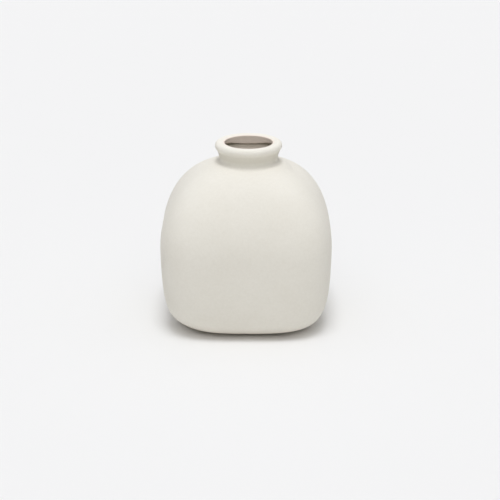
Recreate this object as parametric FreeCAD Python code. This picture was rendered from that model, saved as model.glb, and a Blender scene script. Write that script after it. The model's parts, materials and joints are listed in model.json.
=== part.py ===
import FreeCAD, Part
import math
import os

# Pillow vase in unglazed white stoneware, in millimetres.
# A squarish, softly swollen body stands on a low foot ring and closes to a short flared neck
# with a thick lip. The origin is the middle of the footprint, on the ground. +Z is up, +X is
# to the right of the front, and the front looks along -Y.

# Body: the pillow-shaped wall
body_width = 100.0
body_depth = 96.0
belly_height = 46.4       # from the underside of the base to the widest line
shoulder_height = 94.6    # from the underside of the base to where the shoulder would close
crown_radius = 9.0        # the ring on which it would close, if the neck didn't cut it off
base_width = 60.0         # flat underside, where the lower curve starts
base_depth = 60.0
wall = 4.0
floor_thickness = 5.0

# Character of the body's curves: a power of two gives an ellipse, and more gives a squarer curve
belly_power = 4.0
base_power = 2.1
seat_power = 2.0
lower_curve_power = 3.41
upper_curve_power = 1.98
squaring_share = 1.0      # of the way out from the crown, where the plan becomes fully square

# Foot ring: a low round coil of bare clay under the base
foot_height = 1.6
foot_breadth = 4.6
foot_margin = 1.0         # from the edge of the flat underside in to the ring
foot_edge_round = 0.6

# Neck collar: thrown by itself and luted on, a little to the right of the body's middle
neck_offset = 1.45
waist_radius = 17.0       # outside of the neck at its narrowest
collar_wall = 2.6
luting_round = 2.0        # hollow round of the smoothed clay between the neck and the shoulder
luting_turn = 62.0        # degrees that it turns outwards
luting_edge = 0.35        # upright edge where that clay ends on the shoulder
seat_slope = 27.5         # degrees that the lip's seat falls towards the mouth

# Rim coil: the thick lip of clay round the mouth, rounded outside and pared straight inside
rim_rise = 7.7            # from the waist to the middle of the lip's outer round
rim_radius = 17.05        # from the neck's axis to the middle of the lip's outer round
lip_round = 2.4
lip_dish = 9.0            # degrees that the lip's top falls towards the mouth
mouth_radius = 13.8
mouth_edge_round = 0.55

# Throat: where the neck opens into the body
throat_round = 3.0
throat_turn = 60.0        # degrees

# Inner glaze: the glassy lining that holds the water
glaze_thickness = 0.45

# One overrun serves all cuts, and the sampling of the outlines is in plain counts
cut_overrun = 1.0
outline_points = 32
lower_stations = 9
upper_stations = 9
search_halvings = 40

# Heights from the ground
base_z = foot_height
belly_z = base_z + belly_height
shoulder_z = base_z + shoulder_height
floor_z = base_z + floor_thickness

# The round foot ring follows the mean of the underside's width and depth
foot_radius = (base_width + base_depth) / 4.0 - foot_margin

# Radii at the neck
neck_foot = FreeCAD.Vector(neck_offset, 0, 0)
bore_radius = waist_radius - collar_wall
luting_radius = waist_radius + luting_round * (1.0 - math.cos(math.radians(luting_turn)))


def squircle(half_width, half_depth, power, shift, height):
    """Level closed outline that runs from an ellipse, at a power of two, towards a rectangle."""
    points = []
    for step in range(outline_points):
        angle = math.pi * (0.5 + 2.0 * step / outline_points)
        across = (abs(math.cos(angle)) / half_width) ** power
        along = (abs(math.sin(angle)) / half_depth) ** power
        reach = (across + along) ** (-1.0 / power)
        points.append(FreeCAD.Vector(shift + reach * math.cos(angle), reach * math.sin(angle), height))
    curve = Part.BSplineCurve()
    marks = [step / outline_points for step in range(outline_points + 1)]
    curve.interpolate(Points=points, PeriodicFlag=True, Parameters=marks)
    return Part.Wire([curve.toShape()])


def eased(power, nearness):
    """A curve's power, eased to a plain ellipse near the belly, where the two curves meet."""
    return 2.0 + (power - 2.0) * (1.0 - nearness ** 4)


def lower_station(turn):
    """Outline sizes of the body's outside from the base, at no turn, to the belly, at a quarter."""
    exponent = 2.0 / eased(lower_curve_power, turn / (math.pi / 2.0))
    spread = math.sin(turn) ** exponent
    half_width = base_width / 2.0 + (body_width - base_width) / 2.0 * spread
    half_depth = base_depth / 2.0 + (body_depth - base_depth) / 2.0 * spread
    power = base_power + (belly_power - base_power) * spread
    height = belly_z - belly_height * abs(math.cos(turn)) ** exponent
    return half_width, half_depth, power, 0.0, height


def upper_station(turn):
    """Outline sizes of the body's outside from the belly, at no turn, to the crown, at a quarter."""
    exponent = 2.0 / eased(upper_curve_power, 1.0 - turn / (math.pi / 2.0))
    spread = abs(math.cos(turn)) ** exponent
    half_width = crown_radius + (body_width / 2.0 - crown_radius) * spread
    half_depth = crown_radius + (body_depth / 2.0 - crown_radius) * spread
    squared = min(1.0, spread / squaring_share)
    power = seat_power + (belly_power - seat_power) * squared ** 2 * (3.0 - 2.0 * squared)
    height = belly_z + (shoulder_z - belly_z) * math.sin(turn) ** exponent
    return half_width, half_depth, power, neck_offset * (1.0 - spread), height


def shoulder_at(radius):
    """Height of the shoulder at a distance in front of the neck's axis, found by halving a turn."""
    low_turn = 0.0
    high_turn = math.pi / 2.0
    for halving in range(search_halvings):
        turn = (low_turn + high_turn) / 2.0
        if upper_station(turn)[1] > radius:
            low_turn = turn
        else:
            high_turn = turn
    return upper_station(turn)[4]


def inset_outline(station, turn, inset):
    """Outline of the body at a station, moved inwards and square to the wall by the inset."""
    half_width, half_depth, power, shift, height = station(turn)
    nudge = math.pi / 1000.0
    before = station(max(0.0, turn - nudge))
    after = station(min(math.pi / 2.0, turn + nudge))
    outwards = (after[0] + after[1] - before[0] - before[1]) / 2.0
    upwards = after[4] - before[4]
    slope_length = math.hypot(outwards, upwards)
    draw_in = inset * upwards / slope_length
    lift = inset * outwards / slope_length
    return squircle(half_width - draw_in, half_depth - draw_in, power, shift, height + lift)


def pillow(inset):
    """Solid of the body's outer form, or of that form moved inwards by the inset."""
    outlines = []
    for step in range(lower_stations):
        outlines.append(inset_outline(lower_station, math.pi / 2.0 * step / lower_stations, inset))
    for step in range(upper_stations + 1):
        outlines.append(inset_outline(upper_station, math.pi / 2.0 * step / upper_stations, inset))
    return Part.makeLoft(outlines, True, False)


# Heights at the neck, from where its luted foot meets the shoulder
seat_z = shoulder_at(luting_radius)
waist_z = seat_z + luting_edge + luting_round * math.sin(math.radians(luting_turn))
rim_z = waist_z + rim_rise

# The outside of the neck flares up from the waist in one arc, tangent to the lip's outer round
waist_reach = waist_radius - rim_radius
flare_round = (rim_rise ** 2 + waist_reach ** 2 - lip_round ** 2) / (2.0 * (lip_round - waist_reach))


def beside_axis(radius, height):
    """Point of a neck profile at a radius from the neck's axis."""
    return FreeCAD.Vector(neck_offset + radius, 0, height)


# Middles of the lip's outer round and of the neck's flare, and the way from one to the other
lip_middle = beside_axis(rim_radius, rim_z)
flare_middle = beside_axis(waist_radius + flare_round, waist_z)
joint_angle = math.atan2(flare_middle.z - lip_middle.z, flare_middle.x - lip_middle.x)


def arc_points(middle, radius, first_angle, last_angle):
    """Start, middle and end of an arc in the XZ plane, with angles in radians up from +X."""
    angles = (first_angle, (first_angle + last_angle) / 2.0, last_angle)
    return [middle + FreeCAD.Vector(math.cos(angle), 0, math.sin(angle)) * radius for angle in angles]


def turned(stretches, middle):
    """Solid of revolution about a level middle point. A stretch is one point, or three of an arc."""
    edges = []
    for stretch, following in zip(stretches, stretches[1:] + stretches[:1]):
        if len(stretch) == 3:
            edges.append(Part.Arc(*stretch).toShape())
        if not stretch[-1].isEqual(following[0], Part.Precision.confusion()):
            edges.append(Part.makeLine(stretch[-1], following[0]))
    profile = Part.Face(Part.Wire(edges))
    return profile.revolve(middle, FreeCAD.Vector(0, 0, 1), 360)


def bore(inset, top):
    """Plug that fills the neck's bore and its rounded opening into the body, up to a height."""
    radius = bore_radius - inset
    round_middle = beside_axis(bore_radius + throat_round, seat_z - wall)
    round_middle.z += throat_round * math.sin(math.radians(throat_turn))
    opening = arc_points(round_middle, throat_round + inset, math.pi, math.pi + math.radians(throat_turn))
    tail = FreeCAD.Vector(math.tan(math.radians(throat_turn)), 0, -1) * cut_overrun
    low_end = opening[-1] + tail
    low_middle = FreeCAD.Vector(neck_offset, 0, low_end.z)
    outline = [[beside_axis(0, top)], [beside_axis(radius, top)], opening, [low_end], [low_middle]]
    return turned(outline, neck_foot)


def hollow(inset, top):
    """Space inside the wall, or inside that space's lining, with a flat floor and the bore."""
    room = pillow(wall + inset)
    below_floor = Part.makeBox(body_width, body_depth, floor_z + inset)
    below_floor.translate(FreeCAD.Vector(-body_width / 2.0, -body_depth / 2.0, 0))
    return room.cut(below_floor).fuse(bore(inset, top))


def make_base_slab():
    """Round floor of the vase, whose joint with the wall lies over the middle of the foot ring."""
    radius = foot_radius - foot_breadth / 2.0
    return Part.makeCylinder(radius, floor_thickness, FreeCAD.Vector(0, 0, base_z))


def make_body_wall(outer_form, base_slab):
    """Even pillow-shaped wall, open at the floor and at the neck."""
    space = hollow(0.0, shoulder_z + cut_overrun)
    return outer_form.cut(space).cut(base_slab)


def make_foot_ring():
    """Low ring that the vase stands on, with its two lower edges rubbed round."""
    inner_radius = foot_radius - foot_breadth
    outer_middle = FreeCAD.Vector(foot_radius - foot_edge_round, 0, foot_edge_round)
    inner_middle = FreeCAD.Vector(inner_radius + foot_edge_round, 0, foot_edge_round)
    outer_edge = arc_points(outer_middle, foot_edge_round, 0.0, -math.pi / 2.0)
    inner_edge = arc_points(inner_middle, foot_edge_round, -math.pi / 2.0, -math.pi)
    top = [[FreeCAD.Vector(inner_radius, 0, base_z)], [FreeCAD.Vector(foot_radius, 0, base_z)]]
    return turned([outer_edge, inner_edge] + top, FreeCAD.Vector(0, 0, 0))


def lip_seat():
    """Outer and inner end of the straight, sloping joint between the neck and the lip."""
    outer_end = lip_middle + (flare_middle - lip_middle).normalize() * lip_round
    slope = math.radians(seat_slope)
    inwards = FreeCAD.Vector(-math.cos(slope), 0, -math.sin(slope))
    from_flare = outer_end - flare_middle
    across = from_flare.dot(inwards)
    inner_round = flare_round + collar_wall
    length = math.sqrt(across ** 2 + inner_round ** 2 - from_flare.Length ** 2) - across
    return outer_end, outer_end + inwards * length


def make_neck_collar(outer_form):
    """Flared tube that is luted to the shoulder and carries the lip on a sloping seat."""
    inner_end = lip_seat()[1]
    luting_middle = beside_axis(waist_radius + luting_round, waist_z)
    inner_round = flare_round + collar_wall
    inner_rise = math.asin((inner_end.z - waist_z) / inner_round)
    inside = arc_points(flare_middle, inner_round, math.pi, math.pi - inner_rise)
    outside = arc_points(flare_middle, flare_round, math.pi + joint_angle, math.pi)
    luting = arc_points(luting_middle, luting_round, math.pi, math.pi + math.radians(luting_turn))
    below_seat = seat_z - cut_overrun
    foot = [[beside_axis(luting_radius, below_seat)], [beside_axis(bore_radius, below_seat)]]
    return turned([inside, outside, luting] + foot, neck_foot).cut(outer_form)


def make_rim_coil():
    """Thick lip with a rounded outside, a dished top and a straight mouth that overhangs the neck."""
    inner_end = lip_seat()[1]
    dish = math.radians(lip_dish)
    dish_angle = math.pi / 2.0 + dish
    outside = arc_points(lip_middle, lip_round, joint_angle, dish_angle)
    spare_round = lip_round - mouth_edge_round
    edge_radius = mouth_radius + mouth_edge_round
    run = (rim_radius - spare_round * math.sin(dish) - edge_radius) / math.cos(dish)
    edge_height = rim_z + spare_round * math.cos(dish) - run * math.sin(dish)
    upper_middle = beside_axis(edge_radius, edge_height)
    lower_middle = beside_axis(edge_radius, inner_end.z + mouth_edge_round)
    upper_edge = arc_points(upper_middle, mouth_edge_round, dish_angle, math.pi)
    lower_edge = arc_points(lower_middle, mouth_edge_round, math.pi, math.pi * 1.5)
    return turned([outside, upper_edge, lower_edge, [inner_end]], neck_foot)


def make_inner_glaze():
    """Glassy lining of the floor, the walls, the shoulder and the neck up to its waist."""
    return hollow(0.0, waist_z).cut(hollow(glaze_thickness, waist_z + cut_overrun))


outer_pillow = pillow(0.0)
base_slab = make_base_slab()
pieces = {
    "body_wall": make_body_wall(outer_pillow, base_slab),
    "base_slab": base_slab,
    "foot_ring": make_foot_ring(),
    "neck_collar": make_neck_collar(outer_pillow),
    "rim_coil": make_rim_coil(),
    "inner_glaze": make_inner_glaze(),
}

os.makedirs("parts", exist_ok=True)
for name, shape in pieces.items():
    shape.exportStep("parts/" + name + ".step")
    print(name, shape.ShapeType, shape.isValid(), len(shape.Solids), "solids", round(shape.Volume), "mm3")
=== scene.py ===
# %% [markdown]
# # A pillow vase in matte white stoneware
# This vase is six pieces of clay and glass: a squarish hollow body, a round floor, a foot ring,
# a flared neck, a thick lip and a thin glassy lining. The lesson dresses each of them on top
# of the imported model. That model fixes where every piece is and how large it is, so the first
# step loads it and keeps its box for a comparison at the end.

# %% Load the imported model
import json
import math
from collections import namedtuple

import bmesh
import bpy
import numpy as np
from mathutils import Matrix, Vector, noise

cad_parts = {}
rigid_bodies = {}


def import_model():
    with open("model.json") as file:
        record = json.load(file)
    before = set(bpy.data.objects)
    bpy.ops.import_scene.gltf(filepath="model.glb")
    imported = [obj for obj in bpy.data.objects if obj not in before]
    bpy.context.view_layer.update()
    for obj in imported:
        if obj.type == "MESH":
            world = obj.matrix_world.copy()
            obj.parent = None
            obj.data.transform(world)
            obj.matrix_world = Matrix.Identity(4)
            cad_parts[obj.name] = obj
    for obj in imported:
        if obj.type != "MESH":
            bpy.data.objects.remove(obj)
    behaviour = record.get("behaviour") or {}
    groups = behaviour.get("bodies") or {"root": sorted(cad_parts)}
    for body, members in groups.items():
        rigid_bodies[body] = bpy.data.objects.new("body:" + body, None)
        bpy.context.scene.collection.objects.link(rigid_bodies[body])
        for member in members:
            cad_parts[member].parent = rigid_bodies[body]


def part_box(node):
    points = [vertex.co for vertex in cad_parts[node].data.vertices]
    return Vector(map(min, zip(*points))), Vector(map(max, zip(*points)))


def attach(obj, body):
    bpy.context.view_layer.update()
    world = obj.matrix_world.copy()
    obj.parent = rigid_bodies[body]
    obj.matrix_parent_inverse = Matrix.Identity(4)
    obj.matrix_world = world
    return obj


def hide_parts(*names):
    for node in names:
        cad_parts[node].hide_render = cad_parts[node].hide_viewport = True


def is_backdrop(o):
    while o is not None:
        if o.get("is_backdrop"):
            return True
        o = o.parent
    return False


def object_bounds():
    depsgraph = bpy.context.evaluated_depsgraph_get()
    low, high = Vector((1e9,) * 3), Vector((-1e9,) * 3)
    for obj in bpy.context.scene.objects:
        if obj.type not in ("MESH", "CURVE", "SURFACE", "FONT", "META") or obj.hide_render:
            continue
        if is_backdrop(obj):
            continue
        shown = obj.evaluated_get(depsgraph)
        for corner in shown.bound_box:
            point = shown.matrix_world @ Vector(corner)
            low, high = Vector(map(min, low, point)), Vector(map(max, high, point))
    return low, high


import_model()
cad_low, cad_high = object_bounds()
print("packed vase, in metres:", [round(side, 4) for side in cad_high - cad_low])

# %% [markdown]
# ## Sizes of the pieces
# A size could be typed again here, but then it could drift from the model. Each main size is
# read from the box of the piece that it belongs to instead. Only what a box can't show, such
# as the power of a curve or the thickness of a wall, is written down.

# %% Read the main sizes


def box_of(node):
    """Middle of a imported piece's box, and half of its size along each axis."""
    low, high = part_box(node)
    return (low + high) / 2.0, (high - low) / 2.0


body_middle, body_half = box_of("body_wall")
slab_middle, slab_half = box_of("base_slab")
foot_middle, foot_half = box_of("foot_ring")
rim_middle, rim_half = box_of("rim_coil")
base_z = body_middle.z - body_half.z
floor_z = slab_middle.z + slab_half.z
neck_x = rim_middle.x
print("body", [round(half * 2.0, 4) for half in body_half])

# %% Written sizes of the clay
wall = 0.004
glaze = 0.00045
belly_height = 0.0464         # of the widest line above the underside of the base
shoulder_height = 0.0946      # of the crown, where the shoulder's curve would close
crown_half = 0.009            # radius of that crown, which the bore cuts off
base_half = 0.030             # half the width of the flat, round underside
throat_round = 0.003
throat_turn = math.radians(60.0)
foot_breadth = 0.0046
foot_edge_round = 0.0006
print("wall", wall, "film of glaze", glaze)

# %% Written sizes of the neck and the lip
waist_radius = 0.017          # outside of the neck at its narrowest
collar_wall = 0.0026
luting_round = 0.002          # of the smoothed clay at the neck's foot
luting_turn = math.radians(62.0)
smear_radius = 0.0207         # to which a thumb has feathered that clay out
seat_slope = math.radians(27.5)
lip_round = 0.0024
lip_dish = math.radians(9.0)  # fall of the lip's top towards the mouth
rim_rise = 0.0077             # from the waist to the middle of the lip's outer round
mouth_radius = 0.0138
mouth_edge_round = 0.00055
bore_radius = waist_radius - collar_wall
rim_radius = rim_half.x - lip_round
rim_z = rim_middle.z + rim_half.z - lip_round
waist_z = rim_z - rim_rise
print("bore", round(bore_radius, 5), "waist at", round(waist_z, 5))

# %% [markdown]
# ## The pillow's curves
# Seen from the side, the body is two quarter curves that meet at the belly. Seen from above,
# it is round at the base and at the crown, and nearly square at the belly. One family of curves
# does both: an ellipse whose power is raised above two swells towards a rectangle. A station
# holds half the width, half the depth, the power, the sideways shift and the height of one
# level outline. The shift carries the top of the body over to the neck, which the potter set a
# little to the right.

# %% Stations of the body
Station = namedtuple("Station", "half_width half_depth power shift height")
quarter = math.pi / 2.0
plain_power = 2.0             # of a true circle or ellipse
lower_curve_power = 3.41
upper_curve_power = 1.98
ease_power = 4
base_power = 2.1
belly_power = 4.0
crown_power = plain_power
lower_steps = 50
upper_steps = 60
fine_steps = 400              # points on a curve while its length is measured
belly_z = base_z + belly_height
shoulder_z = base_z + shoulder_height


def eased(power, nearness):
    """A curve's power, eased to a plain ellipse near the belly, where the two curves meet."""
    return plain_power + (power - plain_power) * (1.0 - nearness ** ease_power)


def lower_station(turn):
    """Outline of the body from the base, at no turn, to the belly, at a quarter."""
    exponent = 2.0 / eased(lower_curve_power, turn / quarter)
    spread = math.sin(turn) ** exponent
    half_width = base_half + (body_half.x - base_half) * spread
    half_depth = base_half + (body_half.y - base_half) * spread
    power = base_power + (belly_power - base_power) * spread
    height = belly_z - belly_height * abs(math.cos(turn)) ** exponent
    return Station(half_width, half_depth, power, 0.0, height)


def upper_station(turn):
    """Outline of the body from the belly, at no turn, to the crown, at a quarter."""
    exponent = 2.0 / eased(upper_curve_power, 1.0 - turn / quarter)
    spread = abs(math.cos(turn)) ** exponent
    half_width = crown_half + (body_half.x - crown_half) * spread
    half_depth = crown_half + (body_half.y - crown_half) * spread
    power = crown_power + (belly_power - crown_power) * spread ** 2 * (3.0 - 2.0 * spread)
    height = belly_z + (shoulder_z - belly_z) * math.sin(turn) ** exponent
    return Station(half_width, half_depth, power, neck_x * (1.0 - spread), height)


def inset(curve, turn, depth):
    """Station of a curve, moved into the clay by a depth, square to the wall."""
    nudge = math.pi / 1000.0
    half_width, half_depth, power, shift, height = curve(turn)
    before = curve(max(0.0, turn - nudge))
    after = curve(min(quarter, turn + nudge))
    outwards = (after.half_width + after.half_depth - before.half_width - before.half_depth) / 2.0
    upwards = after.height - before.height
    slope_length = math.hypot(outwards, upwards)
    draw_in = depth * upwards / slope_length
    lift = depth * outwards / slope_length
    return Station(half_width - draw_in, half_depth - draw_in, power, shift, height + lift)


def even_turns(curve, count):
    """Turns that cut a quarter curve into stretches of equal length."""
    fine = np.linspace(0.0, quarter, fine_steps)
    stations = [curve(turn) for turn in fine]
    widening = np.diff([station.half_width for station in stations])
    rising = np.diff([station.height for station in stations])
    run = np.concatenate([[0.0], np.cumsum(np.hypot(widening, rising))])
    return [float(turn) for turn in np.interp(np.linspace(0.0, run[-1], count + 1), run, fine)]


def shoulder_at(radius):
    """Height of the shoulder's front at a distance from the neck's axis."""
    stations = [upper_station(turn) for turn in np.linspace(quarter, 0.0, fine_steps)]
    half_depths = [station.half_depth for station in stations]
    heights = [station.height for station in stations]
    return float(np.interp(radius, half_depths, heights))


lower_turns = even_turns(lower_station, lower_steps)
upper_turns = even_turns(upper_station, upper_steps)
seat_z = shoulder_at(waist_radius + luting_round * (1.0 - math.cos(luting_turn)))
print("stations up the body:", len(lower_turns) + len(upper_turns) - 1)

# %% [markdown]
# ## Spinning a profile, then squaring it
# The whole wall could be skinned from outlines, but a spin is shorter and leaves no seam. The
# profile is drawn as one closed loop, each of its points remembers the number of its station,
# and the spin copies that number with the point. Every point then finds the place that its
# station gives at its angle. Where a profile touches the axis, its points are merged to a pole.

# %% Helpers for a spun piece
pole_gap = 1e-6               # metres, within which points at a pole are one


def ring(radius, height, shift=0.0):
    """Station of a true circle."""
    return Station(radius, radius, plain_power, shift, height)


def neck_ring(radius, height):
    """Station of a circle round the neck's own axis."""
    return ring(radius, height, neck_x)


def spun(profile, steps):
    """Closed mesh from a loop of stations, whose points keep their station number in a layer."""
    shape = bmesh.new()
    number = shape.verts.layers.int.new("station")
    loop = []
    for place, station in enumerate(profile):
        point = shape.verts.new((max(station.half_width, 0.0), 0.0, station.height))
        point[number] = place
        loop.append(point)
    for first, second in zip(loop, loop[1:] + loop[:1]):
        if first.co.x > 0.0 or second.co.x > 0.0:
            shape.edges.new((first, second))
    outline = shape.verts[:] + shape.edges[:]
    bmesh.ops.spin(shape, geom=outline, cent=(0, 0, 0), axis=(0, 0, 1), angle=2.0 * math.pi,
                   steps=steps, use_merge=True)
    for point in shape.verts:
        half_width, half_depth, power, shift, height = profile[point[number]]
        angle = math.atan2(point.co.y, point.co.x)
        reach = 0.0
        if half_width > 0.0:
            across = (abs(math.cos(angle)) / half_width) ** power
            along = (abs(math.sin(angle)) / half_depth) ** power
            reach = (across + along) ** (-1.0 / power)
        point.co = (shift + reach * math.cos(angle), reach * math.sin(angle), height)
    poles = [point for point in shape.verts if profile[point[number]].half_width <= 0.0]
    bmesh.ops.remove_doubles(shape, verts=poles, dist=pole_gap)
    bmesh.ops.recalc_face_normals(shape, faces=shape.faces)
    shape.normal_update()
    return shape


# %% Helper that finishes a piece
crease_angle = math.radians(32.0)


def finished(shape, name, node):
    """Object made from a mesh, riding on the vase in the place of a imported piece."""
    shape.normal_update()
    for face in shape.faces:
        face.smooth = True
    for edge in shape.edges:
        edge.smooth = edge.calc_face_angle(0.0) < crease_angle
    open_edges = sum(1 for edge in shape.edges if not edge.is_manifold)
    mesh = bpy.data.meshes.new(name)
    shape.to_mesh(mesh)
    shape.free()
    piece = bpy.data.objects.new(name, mesh)
    bpy.context.scene.collection.objects.link(piece)
    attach(piece, "root")
    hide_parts(node)
    mesh.calc_loop_triangles()
    print(name, len(mesh.loop_triangles), "triangles,", open_edges, "open edges")
    return piece


# %% [markdown]
# ## Hands leave waves
# A wall that hands have scraped and sponged is never quite fair. A noise field read at each
# point pushes the clay in by a tenth of a millimetre or so along its normal. It never pushes
# outwards, and it fades where another piece seats. Palms leave larger marks: the right of the
# shoulder lies a millimetre lower than the left, the flank below it swells a little, and the
# lower front is fuller on the right than on the left. All of it stays inside the vase's box.
# A sculpted mesh could show the same marks, but these few numbers can be read and changed.

# %% Waves of the hand
broad_wave = 0.00016          # deepest push of the slow waves
broad_length = 0.030
short_wave = 0.00004
short_length = 0.007
short_start = Vector((7.0, 3.0, 5.0))
# Each touch has a place, the size of the palm there and how deep it pressed the clay in. A
# negative depth is a swelling that the palm pushed up beside it.
touches = [
    (Vector((neck_x + 0.026, 0.002, seat_z - 0.003)), 0.011, 0.0013),
    (Vector((0.0445, 0.000, 0.0745)), 0.014, -0.0008),
    (Vector((0.0260, -0.040, 0.0050)), 0.016, -0.0007),
    (Vector((-0.0350, -0.034, 0.0060)), 0.012, 0.0009),
]


def wave(place):
    """Smooth noise from nothing to one."""
    return 0.5 + 0.5 * noise.noise(place)


def hand_push(place):
    """Depth that hands have pushed the clay in at a place."""
    return broad_wave * wave(place / broad_length) + short_wave * wave(place / short_length + short_start)


def bulge(place, middle, size):
    """Share of a soft round bulge, one at its middle and nearly nothing at twice its size."""
    return math.exp(-((place - middle).length / size) ** 2)


def palm_push(place):
    """Depth that the potter's palms have pressed the clay in at a place."""
    return sum(depth * bulge(place, middle, size) for middle, size, depth in touches)


def smooth_step(value, low, high):
    """Zero below low, one above high and an easy curve between."""
    share = min(1.0, max(0.0, (value - low) / (high - low)))
    return share * share * (3.0 - 2.0 * share)


print("palm marks, in metres:", [depth for middle, size, depth in touches])

# %% [markdown]
# ## The body wall
# The wall is an even shell, open at the floor and at the neck. Its outside, its seat for the
# neck, the rounded throat, its inside and the joint with the floor make one closed loop, so
# the spun wall has its real thickness and needs no modifier.

# %% Profile of the room inside the wall
throat_steps = 12


def arc(middle, radius, first, last, count):
    """Rings of the neck along an arc in its profile, with angles up from level."""
    middle_radius, middle_height = middle
    rings = []
    for step in range(count + 1):
        angle = first + (last - first) * step / count
        height = middle_height + radius * math.sin(angle)
        rings.append(neck_ring(middle_radius + radius * math.cos(angle), height))
    return rings


def room(depth):
    """Stations up the room's wall, from its floor to the top of the throat, at a depth in the clay."""
    lining = depth - wall
    floor = floor_z + lining
    stations = [inset(lower_station, turn, depth) for turn in lower_turns]
    stations = [station for station in stations if station.height > floor]
    stations.insert(0, stations[0]._replace(height=floor))
    stations += [inset(upper_station, turn, depth) for turn in upper_turns[1:]]
    throat_middle = (bore_radius + throat_round, seat_z - wall + throat_round * math.sin(throat_turn))
    throat = arc(throat_middle, throat_round + lining, math.pi + throat_turn, math.pi, throat_steps)
    ceiling = [station for station in stations if station.half_width > throat[0].half_width]
    return ceiling + [station for station in throat if station.height > ceiling[-1].height]


print("points up the room's wall:", len(room(wall)))

# %% Spin the body wall
body_steps = 240
calm_share = 1.3              # of the smear's radius, from which the waves have their full depth
outside = [lower_station(turn) for turn in lower_turns]
over_shoulder = [upper_station(turn) for turn in upper_turns[1:]]
outside += [station for station in over_shoulder if station.half_depth > bore_radius]
joint = [ring(slab_half.x, floor_z), ring(slab_half.x, base_z)]
body_profile = outside + [neck_ring(bore_radius, shoulder_at(bore_radius))] + room(wall)[::-1] + joint
body_shape = spun(body_profile, body_steps)
number = body_shape.verts.layers.int["station"]
neck_axis = Vector((neck_x, 0.0, 0.0))
for point in body_shape.verts:
    if point[number] < len(outside):
        from_neck = (point.co - neck_axis).to_2d().length
        fade = smooth_step(from_neck, smear_radius, calm_share * smear_radius)
        fade *= smooth_step(point.co.z, base_z, base_z + wall)
        point.co -= point.normal * (hand_push(point.co) + palm_push(point.co)) * fade
body = finished(body_shape, "pillow_body", "body_wall")

# %% [markdown]
# ## The neck collar
# The collar is an even tube that flares upwards, and the lip rests on its sloping top. Every
# stretch of its profile is an arc that runs smoothly into the next: the inside, the flared
# outside and the smear of clay that lutes it to the shoulder. A thumb has feathered that smear
# out, so it thins to nothing on the shoulder. The clay goes on a little below the shoulder's
# surface, so that no crack can show along the joint.

# %% Where the lip rests on the collar
waist_reach = waist_radius - rim_radius
flare_round = (rim_rise ** 2 + waist_reach ** 2 - lip_round ** 2) / (2.0 * (lip_round - waist_reach))
flare_middle = Vector((waist_radius + flare_round, waist_z))
lip_middle = Vector((rim_radius, rim_z))
between = flare_middle - lip_middle
joint_angle = math.atan2(between.y, between.x)
outer_end = lip_middle + between.normalized() * lip_round
inner_round = flare_round + collar_wall
inwards = Vector((-math.cos(seat_slope), -math.sin(seat_slope)))
from_flare = outer_end - flare_middle
across = from_flare.dot(inwards)
seat_length = math.sqrt(across ** 2 + inner_round ** 2 - from_flare.length_squared) - across
inner_end = outer_end + inwards * seat_length
inner_rise = math.asin((inner_end.y - waist_z) / inner_round)
print("seat of the lip", round(seat_length, 5), "metres across")

# %% Spin the collar
luting_middle = (waist_radius + luting_round, waist_z)
collar_foot = seat_z - wall / 4.0
inside_steps = 14
flare_steps = 18
luting_steps = 10
smear_steps = 8
sink_share = 0.15             # of the smear's height, by which it ends below the shoulder
collar_steps = 192
collar_profile = arc(flare_middle, inner_round, math.pi, math.pi - inner_rise, inside_steps)
collar_profile += arc(flare_middle, flare_round, math.pi + joint_angle, math.pi, flare_steps)
collar_profile += arc(luting_middle, luting_round, math.pi, math.pi + luting_turn, luting_steps)[1:]
smear_start = collar_profile[-1]
smear_rise = smear_start.height - shoulder_at(smear_start.half_width)
for step in range(1, smear_steps + 1):
    share = step / smear_steps
    radius = smear_start.half_width + (smear_radius - smear_start.half_width) * share
    lift = smear_rise * ((1.0 - share) ** 2 - sink_share * share)
    collar_profile.append(neck_ring(radius, shoulder_at(radius) + lift))
collar_profile.append(neck_ring(bore_radius, collar_foot))
collar = finished(spun(collar_profile, collar_steps), "neck_flare", "neck_collar")

# %% [markdown]
# ## The thick lip
# The lip is a heavy ring, round outside, with a top that dishes towards the mouth. Inside it
# was pared straight with a knife, so it ends in a crisp edge and overhangs the neck. The knife
# came out higher on the left and the right than at the back, so the dark gap under the
# overhang opens there. The inner face also swings by a tenth of a millimetre round the mouth,
# and two crumbs that the sponge missed sit low on the front. A bevelled ring would have the
# same round on every edge, and each edge here has its own, so the section is drawn as arcs
# and spun. Long stretches get more points first, because the crumbs need them.

# %% Profile of the lip
outside_steps = 40
edge_steps = 8
under_steps = 6
widest_gap = 0.00025          # between points of the profile
edge_radius = mouth_radius + mouth_edge_round
spare_round = lip_round - mouth_edge_round
top_run = (rim_radius - spare_round * math.sin(lip_dish) - edge_radius) / math.cos(lip_dish)
edge_height = rim_z + spare_round * math.cos(lip_dish) - top_run * math.sin(lip_dish)
dish_angle = quarter + lip_dish
under_height = inner_end.y + mouth_edge_round
lip_outside = arc(lip_middle, lip_round, joint_angle, dish_angle, outside_steps)
lip_edge = arc((edge_radius, edge_height), mouth_edge_round, dish_angle, math.pi, edge_steps)
lip_under = arc((edge_radius, under_height), mouth_edge_round, math.pi, 3.0 * quarter, under_steps)


def filled(rings, gap):
    """Rings with more between them, where two of them are further apart than a gap."""
    full = [rings[0]]
    for last, following in zip(rings, rings[1:]):
        length = math.hypot(following.half_width - last.half_width, following.height - last.height)
        parts = max(1, round(length / gap))
        for part in range(1, parts + 1):
            share = part / parts
            full.append(Station(*(old + (new - old) * share for old, new in zip(last, following))))
    return full


seat_middle = (inner_end + outer_end) / 2.0
lip_seat = [neck_ring(inner_end.x, inner_end.y), neck_ring(seat_middle.x, seat_middle.y)]
lip_profile = filled(lip_outside + lip_edge + lip_under + lip_seat, widest_gap)
print("points up the lip's profile:", len(lip_profile))

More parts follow.
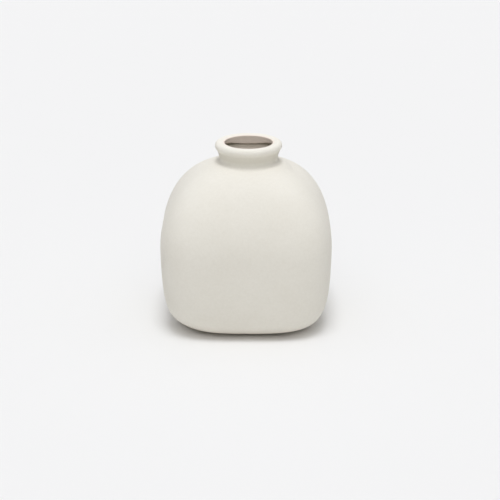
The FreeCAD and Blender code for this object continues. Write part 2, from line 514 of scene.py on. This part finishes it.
# %% Spin the lip
lip_steps = 320
outer_swing = 0.00014
outer_length = 0.016
knife_swing = 0.00012
knife_length = 0.005
calm_height = 0.0005          # over which the swing fades out at the joint with the collar
undercut = 0.0031             # rise of the lip's lower inner edge on the left and the right
crumb_height = 0.00030
crumb_size = 0.00075
crumb_places = [(math.radians(-93.0), math.radians(-30.0)), (math.radians(-77.0), math.radians(-33.0))]
lip_shape = spun(lip_profile, lip_steps)


def on_lip(around, up):
    """Point of the lip's outer round at an angle round the mouth and an angle up its section."""
    radius = rim_radius + lip_round * math.cos(up)
    height = rim_z + lip_round * math.sin(up)
    return Vector((neck_x + radius * math.cos(around), radius * math.sin(around), height))


crumbs = [on_lip(around, up) for around, up in crumb_places]
for point in lip_shape.verts:
    from_axis = point.co - neck_axis
    radius = from_axis.to_2d().length
    low_share = smooth_step(edge_height - point.co.z, 0.0, edge_height - inner_end.y)
    within = smooth_step(seat_middle.x - radius, 0.0, collar_wall / 4.0)
    point.co.z += undercut * (from_axis.x / radius) ** 2 * low_share * within
    knife_share = smooth_step(-radius, -rim_radius, -edge_radius)
    pushed = outer_swing * wave(from_axis / outer_length)
    pushed += knife_swing * wave(from_axis / knife_length) * knife_share
    if radius > rim_radius:
        pushed *= smooth_step(point.co.z, outer_end.y, outer_end.y + calm_height)
    raised = sum(crumb_height * bulge(point.co, crumb, crumb_size) for crumb in crumbs)
    point.co += point.normal * (raised - pushed)
lip = finished(lip_shape, "thick_lip", "rim_coil")

# %% [markdown]
# ## Floor and foot ring
# The floor is a flat disc and the foot a low ring whose two lower edges are rubbed round. Both
# are bare clay. The potter's sponge leaves fine rings on the underside, and the ring is worn
# where it stands, but it keeps touching the ground. Cylinders would do for both, but the marks
# of the sponge need many rings of points, and a spun profile has them.

# %% Spin the floor slab
sponge_depth = 0.00006
sponge_pitch = 0.0016
slab_rings = 48
slab_steps = 144
slab_profile = [ring(slab_half.x * step / slab_rings, base_z) for step in range(slab_rings + 1)]
slab_profile += [ring(slab_half.x, floor_z), ring(0.0, floor_z)]
slab_shape = spun(slab_profile, slab_steps)
number = slab_shape.verts.layers.int["station"]
foot_inner = foot_half.x - foot_breadth
for point in slab_shape.verts:
    radius = point.co.to_2d().length
    if point[number] <= slab_rings and radius < foot_inner:
        marks = 0.5 - 0.5 * math.cos(2.0 * math.pi * radius / sponge_pitch)
        point.co.z += sponge_depth * marks * smooth_step(foot_inner - radius, 0.0, sponge_pitch)
slab = finished(slab_shape, "floor_slab", "base_slab")

# %% Spin the foot ring
rub_steps = 8
foot_steps = 192
foot_top = foot_middle.z + foot_half.z
edge_z = foot_middle.z - foot_half.z + foot_edge_round
foot_profile = []
for middle, first in ((foot_half.x - foot_edge_round, 0.0), (foot_inner + foot_edge_round, -quarter)):
    for step in range(rub_steps + 1):
        angle = first - quarter * step / rub_steps
        height = edge_z + foot_edge_round * math.sin(angle)
        foot_profile.append(ring(middle + foot_edge_round * math.cos(angle), height))
foot_profile += [ring(foot_inner, foot_top), ring(foot_half.x, foot_top)]
foot = finished(spun(foot_profile, foot_steps), "stand_ring", "foot_ring")

# %% [markdown]
# ## The glassy lining
# Glaze poured into the vase and out again leaves a thin even film on the floor, the walls, the
# throat and the neck up to its waist, where it thins out to nothing. A copy of the wall's
# inside, made thick, would show a step there. The film is spun from the room's own profile at
# two depths instead, and its last points draw together.

# %% Spin the lining
lining_steps = 128
feather = 0.00003
# Share of the film's thickness that is left at a depth below the neck's waist.
thinning = [(1.0, 0.0016), (0.85, 0.0010), (0.5, 0.0004)]
lining_inside = [ring(0.0, floor_z + glaze)] + room(wall + glaze)
for share, below in thinning:
    lining_inside.append(neck_ring(bore_radius - glaze * share, waist_z - below))
lining_inside.append(neck_ring(bore_radius - feather, waist_z))
lining_outside = [ring(0.0, floor_z)] + room(wall) + [neck_ring(bore_radius, waist_z)]
lining_shape = spun(lining_inside + lining_outside[::-1], lining_steps)
lining = finished(lining_shape, "glaze_lining", "inner_glaze")

# %% [markdown]
# ## Helpers for the finishes
# Fired clay is never one flat colour. A picture of clay could be wrapped round the vase, but it
# would need unwrapping and would blur up close. Noise that reads object coordinates is fixed
# to the vase in metres instead, and a few helpers lay it in layers of colour and bump. A
# constant such as the roughness stays on the shader.

# %% Node helpers


def new_material(name, roughness, specular):
    """Material with a plain shader, its node tree and that shader."""
    material = bpy.data.materials.new(name)
    material.use_nodes = True
    nodes = material.node_tree.nodes
    shader = nodes["Principled BSDF"]
    shader.inputs["Roughness"].default_value = roughness
    shader.inputs["Specular IOR Level"].default_value = specular
    return material, material.node_tree, shader


def noise_node(tree, grain_size, detail, roughness=0.5):
    """Noise with features of about a grain size, in metres, on object coordinates."""
    place = tree.nodes.new("ShaderNodeTexCoord")
    texture = tree.nodes.new("ShaderNodeTexNoise")
    texture.inputs["Scale"].default_value = 1.0 / grain_size
    texture.inputs["Detail"].default_value = detail
    texture.inputs["Roughness"].default_value = roughness
    tree.links.new(place.outputs["Object"], texture.inputs["Vector"])
    return texture


def ramp_node(tree, value, stops):
    """Colour ramp over a value, from (place, colour) stops."""
    ramp = tree.nodes.new("ShaderNodeValToRGB")
    elements = ramp.color_ramp.elements
    for element, (place, colour) in zip([elements[0], elements[1]], [stops[0], stops[-1]]):
        element.position = place
        element.color = (*colour, 1.0)
    for place, colour in stops[1:-1]:
        elements.new(place).color = (*colour, 1.0)
    tree.links.new(value, ramp.inputs["Fac"])
    return ramp


def mixed(tree, share, first, second, blend="MIX"):
    """Colour output of a mix whose inputs are sockets to link or plain values."""
    mix = tree.nodes.new("ShaderNodeMix")
    mix.data_type = "RGBA"
    mix.blend_type = blend
    sockets = [socket for socket in mix.inputs if socket.enabled]
    for socket, value in zip(sockets, (share, first, second)):
        if isinstance(value, bpy.types.NodeSocket):
            tree.links.new(value, socket)
        else:
            socket.default_value = value
    return next(socket for socket in mix.outputs if socket.enabled)


def bump_node(tree, height, depth, under=None):
    """Bump of a real depth in metres, laid over another bump if there is one."""
    bump = tree.nodes.new("ShaderNodeBump")
    bump.inputs["Distance"].default_value = depth
    tree.links.new(height, bump.inputs["Height"])
    if under is not None:
        tree.links.new(under, bump.inputs["Normal"])
    return bump.outputs["Normal"]


# %% Helpers for a finish that changes with its place


def height_share(tree, low, high):
    """Share, from nothing to one, of the way up between two heights of the vase."""
    place = tree.nodes.new("ShaderNodeTexCoord")
    split = tree.nodes.new("ShaderNodeSeparateXYZ")
    share = tree.nodes.new("ShaderNodeMapRange")
    share.interpolation_type = "SMOOTHSTEP"
    share.inputs["From Min"].default_value = low
    share.inputs["From Max"].default_value = high
    tree.links.new(place.outputs["Object"], split.inputs["Vector"])
    tree.links.new(split.outputs["Z"], share.inputs["Value"])
    return share.outputs["Result"]


def axis_share(tree, near, far):
    """Share, from nothing to one, of the way out between two radii round the neck's axis."""
    place = tree.nodes.new("ShaderNodeTexCoord")
    split = tree.nodes.new("ShaderNodeSeparateXYZ")
    level = tree.nodes.new("ShaderNodeCombineXYZ")
    reach = tree.nodes.new("ShaderNodeVectorMath")
    share = tree.nodes.new("ShaderNodeMapRange")
    reach.operation = "DISTANCE"
    reach.inputs[1].default_value = (neck_x, 0.0, 0.0)
    share.interpolation_type = "SMOOTHSTEP"
    share.inputs["From Min"].default_value = near
    share.inputs["From Max"].default_value = far
    tree.links.new(place.outputs["Object"], split.inputs["Vector"])
    tree.links.new(split.outputs["X"], level.inputs["X"])
    tree.links.new(split.outputs["Y"], level.inputs["Y"])
    tree.links.new(level.outputs["Vector"], reach.inputs[0])
    tree.links.new(reach.outputs["Value"], share.inputs["Value"])
    return share.outputs["Result"]


# %% [markdown]
# ## White clay of the body, the neck and the lip
# The body, the neck and the lip are one dry, matte white. Slow patches come from the thickness
# of the slip and from the kiln, and a fine mottle from the clay below it. Painted shade
# darkens the colour round the neck's waist, under the lip's overhang, so that it is the darkest
# part of the outside, and a little in the crease at the neck's foot. The lip keeps the plain
# white. Inside the mouth the clay is painted warmer, as light bounced about inside it, and the
# body's lowest few millimetres are darker and warmer. Three materials would meet in hard lines,
# so one is tinted by height and by the distance from the neck's axis. A bump at the size of
# the grain keeps the surface dry up close.

# %% Colour of the white clay
white = (1.0, 1.0, 1.0)
thin_coat = (0.905, 0.878, 0.800)
thick_coat = (0.930, 0.905, 0.830)
mottle_tint = (0.965, 0.962, 0.955)
# Painted shade: the first tint darkens the crease at the neck's foot, the second the neck's waist under
# the lip's overhang.
neck_foot_painted_shade = (0.955, 0.955, 0.955)
waist_painted_shade = (0.845, 0.838, 0.815)
# Darker, warmer colour of the body's lowest few millimetres, towards the base.
base_band_colour = (0.800, 0.745, 0.670, 1.0)
# Painted light: warm light bounced about inside the mouth, painted into the clay there.
mouth_painted_bounce = (0.93, 0.83, 0.74, 1.0)
patch_size = 0.022
mottle_size = 0.0016
luting_low = seat_z + luting_round / 2.0
white_clay, tree, shader = new_material("white_clay_finish", roughness=0.88, specular=0.25)
patches = noise_node(tree, patch_size, detail=3.0)
patch_colour = ramp_node(tree, patches.outputs["Fac"], [(0.30, thin_coat), (0.70, thick_coat)])
mottle = noise_node(tree, mottle_size, detail=4.0, roughness=0.65)
mottle_colour = ramp_node(tree, mottle.outputs["Fac"], [(0.30, mottle_tint), (0.70, white)])
clay_colour = mixed(tree, 1.0, patch_colour.outputs["Color"], mottle_colour.outputs["Color"], "MULTIPLY")
# Painted shade by height, from the neck's foot up to the lip, which keeps the plain white.
neck_shade_share = height_share(tree, luting_low, rim_z)
neck_shade_stops = [(0.0, neck_foot_painted_shade), (0.30, waist_painted_shade), (0.75, waist_painted_shade), (1.0, white)]
neck_shade_ramp = ramp_node(tree, neck_shade_share, neck_shade_stops)
clay_colour = mixed(tree, 1.0, clay_colour, neck_shade_ramp.outputs["Color"], "MULTIPLY")
# The body's lowest few millimetres turn darker and warmer towards the base.
warm_band = height_share(tree, base_z, base_z + 2.0 * wall)
clay_colour = mixed(tree, warm_band, base_band_colour, clay_colour)
# Inside the mouth the colour gives way to the painted warm bounce light.
outside_share = axis_share(tree, mouth_radius, waist_radius - collar_wall / 2.0)
clay_colour = mixed(tree, outside_share, mouth_painted_bounce, clay_colour)
tree.links.new(clay_colour, shader.inputs["Base Color"])

# %% Surface of the white clay
grain_size = 0.00045
grain_depth = 0.00004
drag_size = 0.004             # of the soft streaks that a damp sponge drags up
drag_depth = 0.0001
grain = noise_node(tree, grain_size, detail=3.0, roughness=0.6)
drag = noise_node(tree, drag_size, detail=4.0, roughness=0.6)
grain_normal = bump_node(tree, grain.outputs["Fac"], grain_depth)
drag_normal = bump_node(tree, drag.outputs["Fac"], drag_depth, grain_normal)
tree.links.new(drag_normal, shader.inputs["Normal"])
for piece in (body, collar, lip):
    piece.data.materials.append(white_clay)
print(white_clay.name, "has", len(tree.nodes), "nodes")

# %% [markdown]
# ## Bare clay of the floor and the foot ring
# A potter wipes the foot clean, because a coat there would stick to the kiln's shelf. What is
# left is warmer and coarser than the white, with darker specks of grit. The white clay's
# material could be masked for it, but the floor and the foot are pieces of their own, so a
# second material is simpler.

# %% Bare clay
dark_clay = (0.69, 0.62, 0.53)
light_clay = (0.77, 0.71, 0.63)
grit_tint = (0.78, 0.72, 0.66)
bare_patch_size = 0.012
grit_size = 0.0007
grit_depth = 0.00008
bare_clay, tree, shader = new_material("bare_clay_finish", roughness=0.95, specular=0.2)
patches = noise_node(tree, bare_patch_size, detail=3.0)
patch_colour = ramp_node(tree, patches.outputs["Fac"], [(0.32, dark_clay), (0.70, light_clay)])
grit = noise_node(tree, grit_size, detail=2.0, roughness=0.7)
grit_colour = ramp_node(tree, grit.outputs["Fac"], [(0.36, grit_tint), (0.50, white)])
bare_colour = mixed(tree, 1.0, patch_colour.outputs["Color"], grit_colour.outputs["Color"], "MULTIPLY")
tree.links.new(bare_colour, shader.inputs["Base Color"])
tree.links.new(bump_node(tree, grit.outputs["Fac"], grit_depth), shader.inputs["Normal"])
for piece in (slab, foot):
    piece.data.materials.append(bare_clay)
print(bare_clay.name, "has", len(tree.nodes), "nodes")

# %% [markdown]
# ## Satin glass of the lining
# The film is clear glaze fired onto the clay, so it looks like smoother, shinier clay and not
# like a window. A see-through shader would cost many bounces inside a dark vase for a
# difference that no one could see through the mouth. A plain shader of lower roughness does,
# with slow changes of colour and height where the glaze pooled.

# %% Lining
thick_glaze = (0.86, 0.80, 0.70)
thin_glaze = (0.91, 0.86, 0.77)
pool_size = 0.009
pool_depth = 0.00015
clear_lining, tree, shader = new_material("clear_lining_finish", roughness=0.38, specular=0.5)
pooling = noise_node(tree, pool_size, detail=2.0)
pool_colour = ramp_node(tree, pooling.outputs["Fac"], [(0.30, thick_glaze), (0.72, thin_glaze)])
tree.links.new(pool_colour.outputs["Color"], shader.inputs["Base Color"])
tree.links.new(bump_node(tree, pooling.outputs["Fac"], pool_depth), shader.inputs["Normal"])
lining.data.materials.append(clear_lining)
print(clear_lining.name, "has", len(tree.nodes), "nodes")

# %% [markdown]
# ## The table top
# The vase stands on a plain pale surface that fills the picture and takes its shadow. A
# backdrop that curves up behind it isn't needed, because the camera looks down and sees
# nothing but the table.

# %% Table top
floor_reach = 3.0
floor_shape = bmesh.new()
bmesh.ops.create_grid(floor_shape, x_segments=1, y_segments=1, size=floor_reach)
floor_mesh = bpy.data.meshes.new("table_top")
floor_shape.to_mesh(floor_mesh)
floor_shape.free()
table_top = bpy.data.objects.new("table_top", floor_mesh)
bpy.context.scene.collection.objects.link(table_top)
table_finish, tree, shader = new_material("table_finish", roughness=0.9, specular=0.2)
shader.inputs["Base Color"].default_value = (0.872, 0.872, 0.864, 1.0)
floor_mesh.materials.append(table_finish)
table_top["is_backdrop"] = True
print("table top", 2.0 * floor_reach, "metres wide")

# %% [markdown]
# ## Sky and backdrop
# The walls of a studio throw a little light back from all sides, and a weak warm sky does
# that here. The same sky would look grey behind the table in a low view, so a camera ray or a
# mirrored ray that misses the table meets plain white instead.

# %% Sky and backdrop
sky_strength = 0.075
world = bpy.data.worlds.new("studio")
bpy.context.scene.world = world
world.use_nodes = True
tree = world.node_tree
sky = tree.nodes["Background"]
sky.inputs["Color"].default_value = (1.0, 0.92, 0.74, 1.0)
sky.inputs["Strength"].default_value = sky_strength
backdrop = tree.nodes.new("ShaderNodeBackground")
backdrop.inputs["Color"].default_value = (1.0, 1.0, 1.0, 1.0)
path = tree.nodes.new("ShaderNodeLightPath")
seen = path.outputs["Is Camera Ray"]
for kind in ("Is Glossy Ray", "Is Transmission Ray"):
    either = tree.nodes.new("ShaderNodeMath")
    either.operation = "MAXIMUM"
    tree.links.new(seen, either.inputs[0])
    tree.links.new(path.outputs[kind], either.inputs[1])
    seen = either.outputs[0]
choose = tree.nodes.new("ShaderNodeMixShader")
tree.links.new(seen, choose.inputs["Fac"])
tree.links.new(sky.outputs["Background"], choose.inputs[1])
tree.links.new(backdrop.outputs["Background"], choose.inputs[2])
tree.links.new(choose.outputs["Shader"], tree.nodes["World Output"].inputs["Surface"])
print("sky", sky_strength)

# %% [markdown]
# ## Lamps
# A compact key lamp almost overhead gives the dark, narrow shadow under the body. A glowing
# ceiling gives the soft fall from the shoulder to the foot, and a screen in front opens the
# shadows. Area lamps would do the same, but near ones leave the far table darker than the
# near table, and the ground in a product picture is even. Distant lamps light it evenly, and
# their angle sets how soft they are.

# %% Lamps
# Each lamp has a name, its height above level, its width as seen from the vase, its strength
# and its colour.
lamps = [
    ("key_lamp", 80.0, 20.0, 1.24, (0.99, 1.0, 1.03)),
    ("ceiling", 90.0, 120.0, 1.60, (0.985, 0.995, 1.045)),
    ("front_screen", 35.0, 60.0, 0.35, (1.0, 0.965, 0.87)),
]
for name, height_angle, width_angle, strength, colour in lamps:
    lamp = bpy.data.lights.new(name, "SUN")
    lamp.angle = math.radians(width_angle)
    lamp.energy = strength
    lamp.color = colour
    lamp_object = bpy.data.objects.new(name, lamp)
    bpy.context.scene.collection.objects.link(lamp_object)
    lamp_object.rotation_euler = (quarter - math.radians(height_angle), 0.0, 0.0)
    print(name, "at", height_angle, "degrees, strength", strength)

# %% [markdown]
# ## Camera
# Such a picture is taken from a little above through a long lens, so the vase's sides stay
# upright. The camera looks down by twenty and a half degrees from eight tenths of a metre
# away. Its place and lens could be set by eye, but here they are those that lay the packed
# vase's outline over the one in the photo.

# %% Camera
photo_side = 500.0            # pixels
focal_pixels = 1346.16
look_down = math.radians(20.5)
camera_distance = 0.8
camera_target = Vector((0.00229, 0.0, 0.03991))
sensor_width = 36.0           # millimetres
looking = Vector((0.0, math.cos(look_down), -math.sin(look_down)))
camera = bpy.data.cameras.new("photo_camera")
camera.sensor_width = sensor_width
camera.lens = sensor_width * focal_pixels / photo_side
camera.clip_start = 0.01
camera_object = bpy.data.objects.new("photo_camera", camera)
bpy.context.scene.collection.objects.link(camera_object)
camera_object.location = camera_target - looking * camera_distance
camera_object.rotation_mode = "QUATERNION"
camera_object.rotation_quaternion = looking.to_track_quat("-Z", "Y")
bpy.context.scene.camera = camera_object
bpy.context.scene.view_settings.view_transform = "Standard"
print("lens", round(camera.lens, 2), "mm")

# %% [markdown]
# ## Keep the two boxes and finish
# The dressed vase's box is compared with the imported one's, and the room left inside the
# packed box is printed.

# %% Finish
seen_low, seen_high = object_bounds()
gaps = [*(seen_low - cad_low), *(cad_high - seen_high)]
print("room left inside the packed box:", [round(gap, 5) for gap in gaps])
